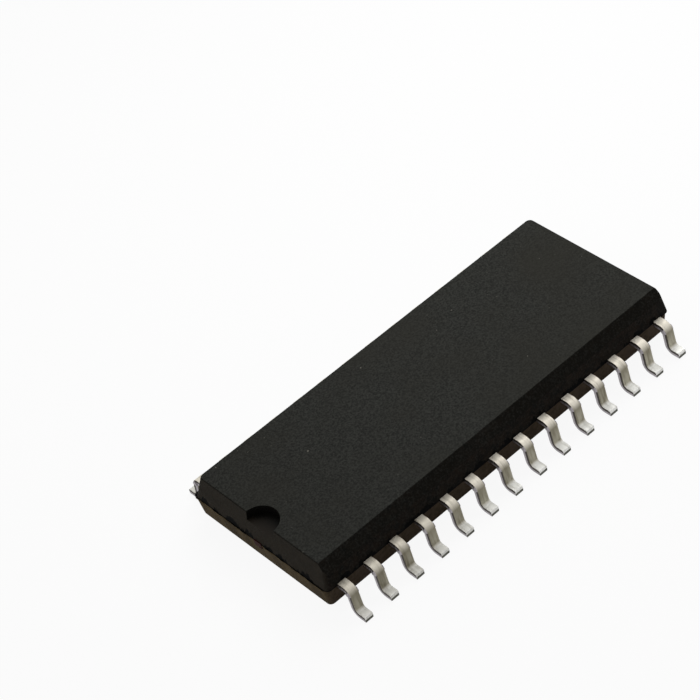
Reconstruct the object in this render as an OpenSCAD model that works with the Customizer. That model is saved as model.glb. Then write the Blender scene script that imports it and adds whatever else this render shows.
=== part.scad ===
// Wide small-outline chip package with gull-wing leads on both long sides.
// Millimetres. Seating plane at z = 0, notched pin-1 end towards -X, pin 1 on the -Y side, Z up.

/* [Moulded body] */
// Length of the body at the parting line
body_l = 17.9; // [17.5:0.05:18.5]
// Width of the body at the parting line
body_w = 7.5; // [7.2:0.05:8]
// Height of the upper half, above the parting plane
upper_depth = 1.15; // [1.1:0.05:1.5]
// Depth of the lower half, below the parting plane
lower_depth = 0.95; // [0.8:0.05:1.2]
// Gap between the board and the underside of the body
standoff = 0.25; // [0.1:0.05:0.3]
// Draft of the upper half's end walls, in degrees
end_draft = 10; // [5:1:15]
// Draft of the upper half's plain side wall, in degrees
side_draft = 18; // [5:1:20]
// Draft of the upper half's bevelled side wall, in degrees
bevel_side_draft = 5; // [5:1:15]
// Draft of the lower half's walls, in degrees
lower_draft = 6; // [5:1:15]
// Radius of the upright corners
corner_r = 0.2; // [0.05:0.05:0.3]
// How far the upper half is moulded off the lower one, towards the bevelled side
half_shift = 0.08; // [0.02:0.02:0.2]
// Reach of the lip along the parting line
lip_reach = 0.04; // [0.02:0.01:0.1]
// Thickness of the lip along the parting line
lip_t = 0.06; // [0.04:0.01:0.1]

/* [Marks on the body] */
// Width of the bevel along the pin-1 side, seen from above
bevel_w = 0.32; // [0.2:0.02:0.6]
// Slope of the bevel, in degrees from the top face
bevel_angle = 48; // [35:1:55]
// Radius that blends the bevel into the side wall
bevel_blend_r = 0.6; // [0.2:0.05:0.8]
// Radius of the notch in the pin-1 end
notch_r = 0.76; // [0.5:0.01:1]
// Depth of the notch below the top face
notch_depth = 0.4; // [0.2:0.05:0.6]
// Diameter of the ejector-pin mark under the body
ejector_d = 2.7; // [2:0.1:3.5]
// Depth of the ejector-pin mark
ejector_depth = 0.06; // [0.03:0.01:0.15]

/* [Leads] */
// Spacing of the leads along the body
lead_pitch = 1.27; // [1.25:0.01:1.29]
// Width of a lead
lead_w = 0.38; // [0.31:0.01:0.51]
// Thickness of the lead frame
lead_t = 0.25; // [0.18:0.01:0.33]
// Height of the lead frame's top face above the parting plane
frame_rise = 0.07; // [0.05:0.01:0.12]
// Width over the tips of the feet
lead_span = 10; // [9.9:0.05:10.65]
// Inside radius of both bends
bend_r = 0.15; // [0.1:0.01:0.2]
// Outward lean of the legs, in degrees
leg_lean = 7; // [0:1:12]
// Length of the flat part of a foot
foot_l = 0.31; // [0.26:0.01:0.5]
// Radius of the rolled top edge of a foot's tip
tip_roll = 0.08; // [0.04:0.01:0.12]
// Height of the cut dam-bar stub on each edge of a lead
dam_stub = 0.04; // [0.02:0.01:0.08]
// Part of the upper bend above the dam-bar stub, in degrees
dam_start = 38; // [6:2:40]
// Part of the upper bend that carries the dam-bar stub, in degrees
dam_angle = 36; // [20:2:38]

/* [Lead frame inside the body] */
// Straight part of a lead inside the side wall
finger_root_l = 0.5; // [0.4:0.05:0.6]
// Width of a lead's finger inside the body
finger_w = 0.25; // [0.18:0.01:0.28]
// Length of the die paddle
paddle_l = 5.2; // [4.6:0.1:5.6]
// Width of the die paddle
paddle_w = 4; // [3.6:0.1:4.2]
// Gap between the paddle and the finger tips, seen from above
paddle_gap = 0.3; // [0.2:0.02:0.36]
// How far the paddle sits below the leads
downset = 0.2; // [0.1:0.02:0.3]
// Width of the tie bars that hold the paddle
tie_bar_w = 0.4; // [0.3:0.05:0.5]
// Length of each tie bar's slope down to the paddle
tie_bar_slope_l = 0.4; // [0.3:0.05:0.6]

/* [Die and bond wires] */
// Length of the silicon die
die_l = 3.4; // [3:0.1:3.8]
// Width of the silicon die
die_w = 3; // [2.6:0.1:3.2]
// Thickness of the silicon die
die_t = 0.3; // [0.2:0.02:0.36]
// Thickness of the adhesive under the die
attach_t = 0.03; // [0.02:0.01:0.06]
// Reach of the adhesive past the die's edges
attach_lip = 0.08; // [0.04:0.02:0.14]
// Diameter of a bond wire
wire_d = 0.03; // [0.02:0.002:0.034]
// Diameter of the bonds at a wire's ends
bond_d = 0.09; // [0.07:0.01:0.12]
// Height of the bonds at a wire's ends
bond_t = 0.04; // [0.036:0.002:0.06]
// Rise of a wire's loop above the line between its bonds
loop_h = 0.25; // [0.16:0.01:0.34]
// Distance of a bond from the die's edge
pad_edge = 0.12; // [0.08:0.01:0.2]
// Distance of a bond from the finger's tip
stitch_back = 0.15; // [0.1:0.01:0.25]

/* [Hidden] */
leads_per_side = 14;
lead_count = 2 * leads_per_side;

// levels
part_z = standoff + lower_depth;
top_z = part_z + upper_depth;
frame_top = part_z + frame_rise;
frame_z = frame_top - lead_t;
paddle_z = frame_z - downset;
paddle_top = paddle_z + lead_t;
die_z = paddle_top + attach_t;
die_top = die_z + die_t;

// cutters run past the faces they open by this much
past = 0.1;

// middle of the top face, between the tops of its side walls
top_mid_y = upper_depth * (tan(bevel_side_draft) - tan(side_draft)) / 2 - half_shift;

// pin-1 bevel: its edges and its blend into the wall, as [y, z]
wall_up = [sin(bevel_side_draft), cos(bevel_side_draft)];
wall_in = [cos(bevel_side_draft), -sin(bevel_side_draft)];
bevel_up = [cos(bevel_angle), sin(bevel_angle)];
wall_top = [upper_depth * tan(bevel_side_draft) - body_w / 2 - half_shift, top_z];
bevel_top = wall_top + [bevel_w, 0];
bevel_run = bevel_w / (bevel_up.x - bevel_up.y * tan(bevel_side_draft));
bevel_foot = bevel_top - bevel_run * bevel_up;
blend_reach = bevel_blend_r * tan((90 - bevel_side_draft - bevel_angle) / 2);
blend_start = bevel_foot - blend_reach * wall_up;
blend_end = bevel_foot + blend_reach * bevel_up;
blend_centre = blend_start + bevel_blend_r * wall_in;

// leads: outside radius and axes of both bends, straight run of the leg between them, inner end of the root
bend_out = bend_r + lead_t;
knee_z = frame_top - bend_out;
heel_y = lead_span / 2 - foot_l;
heel_z = lead_t + bend_r;
leg_run = (knee_z - heel_z + (bend_out + bend_r) * sin(leg_lean)) / cos(leg_lean);
knee_y = heel_y - (bend_out + bend_r) * cos(leg_lean) - leg_run * sin(leg_lean);
root_y = body_w / 2 - finger_root_l;

// finger tips and bonds follow a U round the paddle and round the die, starting this far off the centre line
tip_start = 0.2;
pad_start = 0.15;

mould_black = [0.16, 0.16, 0.15];
tin = [0.78, 0.77, 0.73];
copper = [0.72, 0.45, 0.3];
adhesive = [0.62, 0.62, 0.6];
silicon = [0.42, 0.44, 0.5];
gold = [0.9, 0.7, 0.28];

function lead_x(i) = (i - (leads_per_side - 1) / 2) * lead_pitch;
function lead_name(n) = str("lead_", n < 10 ? "0" : "", n);

// point at a distance s along a U: down from [-hx, -start], across at -hy, up again to [hx, -start]
function along_u(s, hx, hy, start) =
    let (side = hy - start)
    s < side ? [-hx, -start - s] :
    s < side + 2 * hx ? [s - side - hx, -hy] :
    [hx, s - side - 2 * hx - hy];
function spread_u(i, hx, hy, start) =
    along_u((i + 0.5) / leads_per_side * 2 * (hx + hy - start), hx, hy, start);

function root_point(i) = [lead_x(i), -root_y];
function tip_point(i) = spread_u(i, paddle_l / 2 + paddle_gap, paddle_w / 2 + paddle_gap, tip_start);
function pad_point(i) = spread_u(i, die_l / 2 - pad_edge, die_w / 2 - pad_edge, pad_start);
function stitch_point(i) =
    let (back = root_point(i) - tip_point(i))
    tip_point(i) + stitch_back * back / norm(back);

// leaves numbers 1 to leads_per_side on the -Y side and turns the rest round to the +Y side
module on_side(n) {
    rotate([0, 0, n > leads_per_side ? 180 : 0]) children();
}

// one half of the body, standing on the parting plane, its corners leaning in
// with the drafts of the ends, the pin-1 side and the other side
module body_half(depth, ends, pin_side, other_side) {
    hull() {
        for (sx = [-1, 1], sy = [-1, 1]) {
            draft = sy < 0 ? pin_side : other_side;
            multmatrix([
                [1, 0, -sx * tan(ends), sx * (body_l / 2 - corner_r)],
                [0, 1, -sy * tan(draft), sy * (body_w / 2 - corner_r)],
                [0, 0, 1, 0],
                [0, 0, 0, 1]
            ]) cylinder(h = depth, r = corner_r, $fn = 32);
        }
    }
}

// lip at the top edge of the lower half, where the mould closed
module parting_lip() {
    x = body_l / 2 - corner_r;
    y = body_w / 2 - corner_r;
    r = corner_r + lip_reach;
    translate([0, 0, part_z - lip_t]) {
        translate([-x - r, -y, 0]) cube([2 * (x + r), 2 * y, lip_t]);
        translate([-x, -y - r, 0]) cube([2 * x, 2 * (y + r), lip_t]);
        for (sx = [-1, 1], sy = [-1, 1]) {
            translate([sx * x, sy * y, 0]) cylinder(h = lip_t, r = r, $fn = 32);
        }
    }
}

// what the pin-1 bevel takes off the upper half
module bevel_cut() {
    outer_y = -body_w / 2 - half_shift - past;
    high_point = bevel_top + past * bevel_up;
    rotate([90, 0, 90]) translate([0, 0, -body_l / 2 - past]) linear_extrude(body_l + 2 * past) difference() {
        polygon([blend_start, blend_end, high_point, [outer_y, high_point.y], [outer_y, blend_start.y]]);
        translate(blend_centre) circle(r = bevel_blend_r, $fn = 96);
    }
}

module notch_cut() {
    translate([upper_depth * tan(end_draft) - body_l / 2, top_mid_y, top_z - notch_depth]) {
        cylinder(h = notch_depth + past, r = notch_r, $fn = 64);
    }
}

module ejector_cut() {
    translate([0, 0, standoff - past]) cylinder(h = ejector_depth + past, d = ejector_d, $fn = 96);
}

module mould_body() {
    color(mould_black) difference() {
        union() {
            translate([0, -half_shift, part_z]) {
                body_half(upper_depth, end_draft, bevel_side_draft, side_draft);
            }
            translate([0, 0, part_z]) mirror([0, 0, 1]) {
                body_half(lower_depth, lower_draft, lower_draft, lower_draft);
            }
            parting_lip();
        }
        bevel_cut();
        notch_cut();
        ejector_cut();
        for (n = [1:lead_count]) {
            lead(n);
        }
        paddle_shape(past);
        die_attach();
        silicon_die();
        bond_wires();
    }
}

// outline of part of a bend, starting at an angle measured from +Y towards +Z
module bend_outline(y, z, from, turn) {
    reach = 2 * bend_out;
    translate([y, z]) intersection() {
        difference() {
            circle(r = bend_out, $fn = 96);
            circle(r = bend_r, $fn = 96);
        }
        polygon(concat([[0, 0]], [for (a = [0, turn / 2, turn]) reach * [cos(from + a), sin(from + a)]]));
    }
}

// outline of the flat foot, its tip rolled over at the top by the cutting tool
module foot_outline() {
    tip_y = -lead_span / 2;
    translate([tip_y + tip_roll, 0]) square([foot_l - tip_roll, lead_t]);
    translate([tip_y, 0]) square([foot_l, lead_t - tip_roll]);
    translate([tip_y + tip_roll, lead_t - tip_roll]) circle(r = tip_roll, $fn = 48);
}

// outline of the whole bent strip, from its straight root inside the body to its foot
module strip_outline() {
    translate([-knee_y, frame_z]) square([knee_y - root_y, lead_t]);
    bend_outline(-knee_y, knee_z, 90, 90 - leg_lean);
    translate([-knee_y, knee_z]) rotate(-leg_lean) translate([-bend_out, -leg_run]) square([lead_t, leg_run]);
    bend_outline(-heel_y, heel_z, 270, 90 - leg_lean);
    foot_outline();
}

// the strip outside the body and its straight root inside, on the -Y side, with the cut dam-bar stubs
module gull_wing() {
    rotate([90, 0, 90]) {
        linear_extrude(lead_w, center = true) strip_outline();
        linear_extrude(lead_w + 2 * dam_stub, center = true) {
            bend_outline(-knee_y, knee_z, 90 + dam_start, dam_angle);
        }
    }
}

// the flat finger inside the body, from the root's end towards the paddle
module finger(i) {
    away = tip_point(i) - root_point(i);
    translate([root_point(i).x, root_point(i).y, frame_z]) {
        cylinder(h = lead_t, d = lead_w, $fn = 48);
        rotate([0, 0, atan2(away.y, away.x)]) translate([0, -finger_w / 2, 0]) {
            cube([norm(away), finger_w, lead_t]);
        }
    }
}

module lead(n) {
    i = (n - 1) % leads_per_side;
    color(tin) on_side(n) {
        translate([lead_x(i), 0, 0]) gull_wing();
        finger(i);
    }
}

// the paddle and both tie bars, the bars' ends carried on by a further reach
module paddle_shape(reach) {
    slope_top = paddle_l / 2 + tie_bar_slope_l;
    bar_end = body_l / 2 + lip_reach + reach;
    translate([-paddle_l / 2, -paddle_w / 2, paddle_z]) cube([paddle_l, paddle_w, lead_t]);
    for (side = [0, 180]) {
        rotate([90, 0, side]) linear_extrude(tie_bar_w, center = true) polygon([
            [0, paddle_z],
            [paddle_l / 2, paddle_z],
            [slope_top, frame_z],
            [bar_end, frame_z],
            [bar_end, frame_top],
            [slope_top, frame_top],
            [paddle_l / 2, paddle_top],
            [0, paddle_top]
        ]);
    }
}

module die_paddle() {
    color(copper) paddle_shape(0);
}

module die_attach() {
    l = die_l + 2 * attach_lip;
    w = die_w + 2 * attach_lip;
    color(adhesive) translate([-l / 2, -w / 2, paddle_top]) cube([l, w, attach_t]);
}

module silicon_die() {
    color(silicon) translate([-die_l / 2, -die_w / 2, die_z]) cube([die_l, die_w, die_t]);
}

// one wire: a bond on the die, an arc that rises over the line between the bonds, a bond on the finger
module wire(i) {
    a = pad_point(i);
    b = stitch_point(i);
    run = norm(b - a);
    drop = frame_top - die_top;
    chord = norm([run, drop]);
    arc_r = (chord * chord / 4 + loop_h * loop_h) / (2 * loop_h);
    half_turn = asin(chord / (2 * arc_r));
    slope = atan2(drop, run);
    below = arc_r - loop_h;
    translate([a.x, a.y, die_top]) {
        cylinder(h = bond_t, d = bond_d, $fn = 32);
        rotate([90, 0, atan2(b.y - a.y, b.x - a.x)]) {
            translate([run / 2 + below * sin(slope), (drop + bond_t) / 2 - below * cos(slope), 0]) {
                rotate([0, 0, slope + 90 - half_turn]) rotate_extrude(angle = 2 * half_turn, $fn = 96) {
                    translate([arc_r, 0]) circle(d = wire_d, $fn = 16);
                }
            }
        }
    }
    translate([b.x, b.y, frame_top]) cylinder(h = bond_t, d = bond_d, $fn = 32);
}

module bond_wires() {
    color(gold) for (n = [1:lead_count]) {
        on_side(n) wire((n - 1) % leads_per_side);
    }
}

mould_body();
die_paddle();
die_attach();
silicon_die();
bond_wires();
for (n = [1:lead_count]) {
    lead(n);
}
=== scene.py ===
"""Dresses a small-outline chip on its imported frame: body, formed leads, inner pieces and studio stage."""

import math

import bmesh
import bpy
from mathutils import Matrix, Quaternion, Vector, noise


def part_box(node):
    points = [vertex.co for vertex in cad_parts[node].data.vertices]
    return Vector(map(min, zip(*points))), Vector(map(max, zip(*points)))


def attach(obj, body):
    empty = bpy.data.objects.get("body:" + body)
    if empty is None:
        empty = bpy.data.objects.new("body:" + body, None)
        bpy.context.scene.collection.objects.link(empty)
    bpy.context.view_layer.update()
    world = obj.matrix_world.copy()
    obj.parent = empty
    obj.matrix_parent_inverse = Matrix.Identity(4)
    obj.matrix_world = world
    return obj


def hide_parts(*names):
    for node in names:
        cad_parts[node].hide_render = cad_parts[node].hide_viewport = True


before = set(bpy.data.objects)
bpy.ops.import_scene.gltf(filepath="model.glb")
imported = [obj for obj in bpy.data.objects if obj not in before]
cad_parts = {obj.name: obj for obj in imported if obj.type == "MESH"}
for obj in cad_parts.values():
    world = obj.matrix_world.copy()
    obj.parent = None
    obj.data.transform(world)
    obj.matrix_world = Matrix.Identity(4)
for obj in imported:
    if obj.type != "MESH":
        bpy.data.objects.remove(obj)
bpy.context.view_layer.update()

bl_info = {
    "name": "Small-outline chip",
    "version": (1, 0, 0),
    "blender": (4, 5, 0),
    "location": "View3D > Sidebar > Chip",
    "description": "Models the body and formed leads of a small-outline chip and sets up its stage",
    "category": "Add Mesh",
}

MM = 0.001

BODY_LOW, BODY_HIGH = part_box("mould_body")
FIRST_LEAD_LOW, FIRST_LEAD_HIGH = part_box("lead_01")
LEADS_PER_SIDE = 14
LEAD_PITCH = 1.27 * MM

# Distances within which points count as one, as level, or as lying on a strip, a plane, an edge or a cut.
WELD = 0.0002 * MM
LEVEL = 0.001 * MM
ON_STRIP = 0.002 * MM
ON_PLANE = 0.01 * MM
ON_EDGE = 0.02 * MM
ON_CUT = 1e-8

# How finely curved shapes are divided.
ROD_SIDES = 96
CORNER_STEPS = 6
BLEND_STEPS = 8
EDGE_STEPS = 3
LIP_CUTS = 90
STRIP_CUTS = 3
BEND_STEPS = 10
ROLL_STEPS = 4
BURR_STEPS = 2

# Edges sharper than the first angle are rounded. Faces that meet at less than the others shade smoothly.
SHARP = math.radians(24)
BODY_SMOOTH = math.radians(32)
LEAD_SMOOTH = math.radians(40)

# Shares of a face's normal: square to an axis, upright, turned out of the notch, turned out at a foot's tip.
SQUARE = 0.9
UPRIGHT = 0.3
OUT_OF_NOTCH = 0.1
OUT_AT_TIP = -0.8

# The lip's waves, the pin that leaves the ejector mark, and the reach of the points at a finger's end.
LIP_WAVE = 0.22 * MM
MARK_PIN = 1 * MM
FINGER_END = 0.27 * MM

# The dam bar's stubs: place round the bend in degrees, taper, and share of height that makes a face theirs.
STUB_FROM, STUB_TO = 14, 50
STUB_TAPER = 0.8
STUB_PART = 0.3

# Share of a tip's thickness that the cut left bare, and the materials' places on the body and on a lead.
BARE_TIP = 0.4
LOWER_FINISH, NOTCH_FINISH = 1, 2
PLATE_FINISH, STAMPED_FINISH, FRACTURE_FINISH, TIP_FINISH = range(4)

# Sizes of the patterns in the materials.
CLOUD = 4 * MM
SPECK = 0.18 * MM
DARK_BAND_WANDER = 0.42 * MM
PATCH = 0.3 * MM
RUN = 0.5 * MM
STREAK = 0.12 * MM
TARNISH = 0.3 * MM
SCORE = 0.06 * MM
COPPER_GRAIN = 0.06 * MM
FIBRE = 3 * MM
ROOT_BROWN_WANDER = 0.3 * MM

# How the patterns are drawn out along X, Y and Z.
DARK_BAND_STRETCH = (1, 1, 0.2)
RUN_STRETCH = (1, 1, 0.25)
STREAK_STRETCH = (1, 0.12, 0.12)
SCORE_STRETCH = (1, 1, 0.3)
FLATTENED = (1, 1, 0)

# Ranges: where a pattern, a direction or a place begins and ends, and what it gives there if not 0 and 1.
NOISE_SPAN = (0.3, 0.7)
GRAIN_SPAN = (0.38, 0.62)
CLOUD_SPAN = (0.4, 0.75, 0, 0.6)
SPECK_SPAN = (0.765, 0.81, 0, 0.8)
PATCH_SPAN = (0.35, 0.65)
DARK_BAND_REACH = (0.42, 0.58, 0.04 * MM, 0.28 * MM)
END_FACING = (0.2, 0.7)
WALL_FACING = (0.9, 0.6, 0, 0.8)
EDGE_FACING_FROM = (0.97, 0.85)
EDGE_FACING_TO = (0.25, 0.4)
# Share of painted shade that the cloud lets onto the rounded edges and the bevel.
EDGE_SHADE_CLOUD = (0.35, 0.55, 0.2, 0.7)
GLINTS = (0.5, 0.7, 0, 0.5)
GLINT_FACING = (0.9, 0.75)
MOTTLE_SPAN = (0.4, 0.6)
GREYED = (0.4, 0.6, 0.25, 0.85)
UNDERSIDE_FACING = (-0.5, -0.85)
NOTCH_FACING = (0.3, 0.9)
STREAK_SPAN = (0.34, 0.6)
FAINT_STREAKS = (0.5, 0.3, 0, 0.35)
UPPER_LEG_DARKER = (0.4 * MM, 1.0 * MM, 0, 0.7)
LYING_SPAN = (0.45, 0.95)
NEAR_END = (-5 * MM, 0, 1, 0.2)
SKY_SPAN = (-0.6, 0.5)

# The same, as distances from the notch, the parting plane, a foot's tip, the body's long wall and its end.
ABOVE_FLOOR = (0.005 * MM, 0.025 * MM)
# The notch's painted shade: its dark root along the wall, its clear mouth, and its floor darkening inwards.
NOTCH_ROOT = (-0.16 * MM, -0.3 * MM)
NOTCH_MOUTH = (0.3 * MM, 0.1 * MM)
NOTCH_OUTWARD = (0.5 * MM, -0.05 * MM, 0.06, 0.42)
RAGGED = (0.015 * MM, -0.015 * MM)
PRESSED = (-0.5 * MM, -0.35 * MM)
# The rolled tip's painted light: where it counts as lying flat, and where it turns near white.
ROLLED_TIP_LIGHT = (-0.12 * MM, -0.05 * MM)
TIP_RIM_LIGHT = (-0.06 * MM, -0.02 * MM)
ROOT_BROWN_SPAN = (0.3 * MM, 0.12 * MM, 0, 0.45)
CUT_END = (-0.4 * MM, -0.2 * MM)

# Shares in which patterns are mixed in, and of a colour in its darker grain.
END_PATCHES = 0.4
LYING_CLOUD = 0.3
# Share of painted shade on the leads at the -X end.
NEAR_END_SHADE = 0.3
SCORED_DARK = 0.6
GRAINED_DARK = 0.7
FIBRE_DARK = 0.985

# The floor's side, the camera's nearest and furthest sight, and where the surroundings are bright.
FLOOR_SIZE = 1.2
SIGHT_FROM, SIGHT_TO = 1 * MM, 10
SKY_BEHIND, SKY_LEFT = 0.85, -0.5


def length_property(name, description, default):
    """A length in metres, with its words for the sidebar."""
    return bpy.props.FloatProperty(
        name=name, description=description, default=default, precision=6, unit="LENGTH"
    )


def place_property(name, description, default):
    """A point in metres."""
    return bpy.props.FloatVectorProperty(
        name=name, description=description, default=default, precision=6, subtype="TRANSLATION",
        unit="LENGTH",
    )


def angle_property(name, description, degrees):
    """An angle, given here in degrees."""
    return bpy.props.FloatProperty(
        name=name, description=description, default=math.radians(degrees), subtype="ANGLE"
    )


def colour_property(name, description, default):
    """A linear colour without alpha."""
    return bpy.props.FloatVectorProperty(
        name=name, description=description, default=default, size=3, min=0, max=1, subtype="COLOR"
    )


def share_property(name, description, default):
    """A number from 0 to 1."""
    return bpy.props.FloatProperty(
        name=name, description=description, default=default, min=0, max=1, subtype="FACTOR"
    )


class ChipBodyLook(bpy.types.PropertyGroup):
    """Sizes and colours of the moulded body."""

    lip_reach: length_property("Lip reach", "Reach of the lip along the parting line", 0.04 * MM)
    lip_thickness: length_property("Lip thickness", "Thickness of the parting-line lip", 0.06 * MM)
    lip_wander: length_property("Lip wander", "How far the lip's edge wanders inwards", 0.03 * MM)
    parting_height: length_property("Parting height", "Height of the parting plane", 1.2 * MM)
    half_shift: length_property("Half shift", "Offset of the upper half to the bevelled side", 0.08 * MM)
    end_draft: angle_property("End draft", "Draft of the upper half's ends", 10)
    side_draft: angle_property("Side draft", "Draft of the upper half's plain side", 18)
    bevel_side_draft: angle_property("Bevelled side's draft", "Draft of the upper half's bevelled side", 5)
    lower_draft: angle_property("Lower draft", "Draft of the lower half's walls", 6)
    corner_radius: length_property("Corner radius", "Radius of the upright corners", 0.2 * MM)
    bevel_width: length_property("Bevel width", "Width of the pin-1 bevel seen from above", 0.32 * MM)
    bevel_angle: angle_property("Bevel angle", "Slope of the pin-1 bevel", 48)
    blend_radius: length_property("Blend radius", "Radius between the bevel and the wall", 0.6 * MM)
    notch_radius: length_property("Notch radius", "Radius of the end notch", 0.76 * MM)
    notch_depth: length_property("Notch depth", "Depth of the end notch", 0.4 * MM)
    ejector_diameter: length_property("Ejector mark", "Diameter of the mark underneath", 2.7 * MM)
    ejector_depth: length_property("Ejector depth", "Depth of the mark underneath", 0.06 * MM)
    edge_radius: length_property("Edge radius", "Softness of the moulded edges", 0.05 * MM)
    grain: length_property("Grain", "Size of the mould's spark-eroded grain", 0.075 * MM)
    grain_dark: colour_property("Dark grain", "Darker grain of the upper half", (0.0153, 0.0158, 0.0141))
    grain_light: colour_property("Light grain", "Lighter grain of the upper half", (0.0418, 0.0427, 0.0381))
    tint: colour_property("Tint", "Faint warm cloud in the compound", (0.028, 0.0267, 0.0215))
    speck: colour_property("Specks", "Colour of the few pale specks of filler", (0.16, 0.15, 0.13))
    # The ends' paler colour is painted light and the long sides' darker colour is painted shade, for how the
    # light falls on them.
    end_wall: colour_property("End walls", "Colour of the upper half's ends", (0.0295, 0.0232, 0.0166))
    side_wall: colour_property(
        "Side walls", "Colour of the upper half's smooth long sides", (0.0165, 0.0098, 0.0062)
    )
    # The edge colour is painted shade on the rounded edges and the bevel, and it also darkens patches on the
    # ends and the notch.
    edge: colour_property("Edges", "Colour of the upper half's rounded edges", (0.0055, 0.005, 0.0037))
    # The notch wall's near-black colour is painted shade.
    notch: colour_property("Notch wall", "Colour of the notch's polished wall", (0.0012, 0.0012, 0.0012))
    # The near-black colour of the ragged band just above the parting line and of the patches on the long
    # sides.
    flash: colour_property("Torn flash", "Colour of the flash at the parting line", (0.001, 0.001, 0.001))
    # The lower half's lighter wall colours are partly painted light, for light bounced up from the floor
    # onto its walls.
    lower_dark: colour_property("Lower half, dark", "Darker grain of the lower half", (0.045, 0.032, 0.0162))
    lower_side: colour_property(
        "Lower half, sides", "Greyer colour of the lower half's long sides", (0.09, 0.068, 0.055)
    )
    lower_light: colour_property(
        "Lower half, light", "Lighter grain of the lower half", (0.104, 0.077, 0.042)
    )


class ChipLeadLook(bpy.types.PropertyGroup):
    """Sizes and colours of the formed leads."""

    width: length_property("Width", "Width of a lead", 0.38 * MM)
    thickness: length_property("Thickness", "Thickness of the lead frame", 0.25 * MM)
    bend_radius: length_property("Bend radius", "Inside radius of both bends", 0.15 * MM)
    leg_lean: angle_property("Leg lean", "Outward lean of the legs", 7)
    foot_length: length_property("Foot length", "Length of the flat part of a foot", 0.31 * MM)
    tip_roll: length_property("Tip roll", "Radius of the rolled top edge of a foot's tip", 0.08 * MM)
    root_depth: length_property("Root depth", "Straight part inside the body", 0.5 * MM)
    finger_width: length_property("Finger width", "Width of the finger inside the body", 0.25 * MM)
    rolled_edge: length_property("Rolled edge", "Radius of the outer edges", 0.055 * MM)
    burr_edge: length_property("Burr edge", "Radius of the inner edges", 0.02 * MM)
    stub_height: length_property("Stub height", "Height of the cut dam-bar stubs", 0.04 * MM)
    plate: colour_property("Plate", "Colour of the tin plate", (0.87, 0.82, 0.715))
    foot: colour_property("Foot", "Colour of the feet, pressed bright by the tool", (0.82, 0.82, 0.785))
    # The tip rim's near white is painted light on the rolled tip of each foot.
    tip_rim_light: colour_property("Tip rim", "Colour of the rolled edge of a foot's tip", (1, 1, 0.97))
    # On the upright legs the drawn plate's darker colour is painted shade; its streaks are the plate's own.
    drawn: colour_property("Drawn plate", "Colour of the plate that the tool has drawn", (0.58, 0.552, 0.44))
    # The dull colour gives the plate's dull streaks and also the painted shade down the legs and on the
    # leads at the -X end.
    dull_and_shade: colour_property("Dull plate", "Colour of its dull streaks", (0.235, 0.21, 0.145))
    # A brown darkening of the shoulders next to the body wall, strongest at the -X end.
    root_brown: colour_property("Root stain", "Colour of the resin stain at the body", (0.3, 0.22, 0.14))
    sheared: colour_property("Sheared edge", "Colour of the stamped edges", (0.4, 0.37, 0.39))
    fracture: colour_property("Fracture", "Colour of the dark fracture strip", (0.07, 0.06, 0.05))
    tip: colour_property("Cut tip", "Colour of the cut end of a foot", (0.1, 0.1, 0.08))


class ChipInnerLook(bpy.types.PropertyGroup):
    """Colours of the pieces inside the body."""

    copper: colour_property("Copper", "Colour of the paddle and tie bars", (0.45, 0.2, 0.1))
    cut_copper: colour_property(
        "Cut copper", "Colour of the tie bars' tarnished cut ends", (0.03, 0.009, 0.008)
    )
    adhesive: colour_property("Adhesive", "Colour of the die adhesive", (0.35, 0.35, 0.33))
    silicon: colour_property("Silicon", "Colour of the die", (0.1, 0.11, 0.15))
    gold: colour_property("Gold", "Colour of the bond wires", (0.8, 0.5, 0.12))


class ChipStageLook(bpy.types.PropertyGroup):
    """Camera, floor and light."""

    camera_place: place_property(
        "Camera place", "Where the camera stands", (-37.266 * MM, -53.824 * MM, 66.008 * MM)
    )
    camera_target: place_property(
        "Camera target", "Point in the middle of the picture", (-0.086 * MM, 4.668 * MM, 1.2 * MM)
    )
    camera_roll: angle_property("Camera roll", "Turn of the camera about its view", -14.47)
    lens: bpy.props.FloatProperty(
        name="Lens", description="Focal length in millimetres", default=125.443, min=1
    )
    floor: colour_property("Floor", "Colour of the floor", (0.93, 0.93, 0.93))
    key_place: place_property("Key place", "Where the softbox hangs", (21 * MM, 13.3 * MM, 38.5 * MM))
    key_size: length_property("Key size", "Side of the square softbox", 36.4 * MM)
    key_radiance: bpy.props.FloatProperty(
        name="Key light", description="Brightness of the softbox above the far end", default=3.2, min=0
    )
    sky_bright: share_property("Bright sky", "Light from the surroundings behind and to the left", 0.55)
    sky_dark: share_property("Dark sky", "Light from the surroundings in front", 0.06)
    white_floor: share_property("White floor", "Share of plain white in the floor as seen", 0.92)


LOOKS = {
    "chip_body": ChipBodyLook,
    "chip_lead": ChipLeadLook,
    "chip_inner": ChipInnerLook,
    "chip_stage": ChipStageLook,
}


def deselect():
    """Leaves nothing selected, so that an operator acts only on what is added next."""
    bpy.ops.object.select_all(action="DESELECT")


def make_active(obj):
    """Selects one object and makes it the active one."""
    deselect()
    obj.select_set(True)
    bpy.context.view_layer.objects.active = obj


def apply_place(obj):
    """Moves an object's place, turn and scale into its mesh."""
    make_active(obj)
    bpy.ops.object.transform_apply(location=True, rotation=True, scale=True)


def add_block(name, low, high):
    """A block between two corners."""
    deselect()
    low, high = Vector(low), Vector(high)
    bpy.ops.mesh.primitive_cube_add(size=1, location=(low + high) / 2, scale=high - low)
    block = bpy.context.active_object
    block.name = name
    apply_place(block)
    return block


def add_rod(name, radius, low, high):
    """An upright rod between two points on one axis."""
    deselect()
    low, high = Vector(low), Vector(high)
    bpy.ops.mesh.primitive_cylinder_add(
        vertices=ROD_SIDES, radius=radius, depth=(high - low).length, location=(low + high) / 2
    )
    rod = bpy.context.active_object
    rod.name = name
    apply_place(rod)
    return rod


def edit(obj):
    """Opens an object for shaping."""
    make_active(obj)
    bpy.ops.object.mode_set(mode="EDIT")


def leave_edit():
    """Closes the open object."""
    bpy.ops.object.mode_set(mode="OBJECT")


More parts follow.
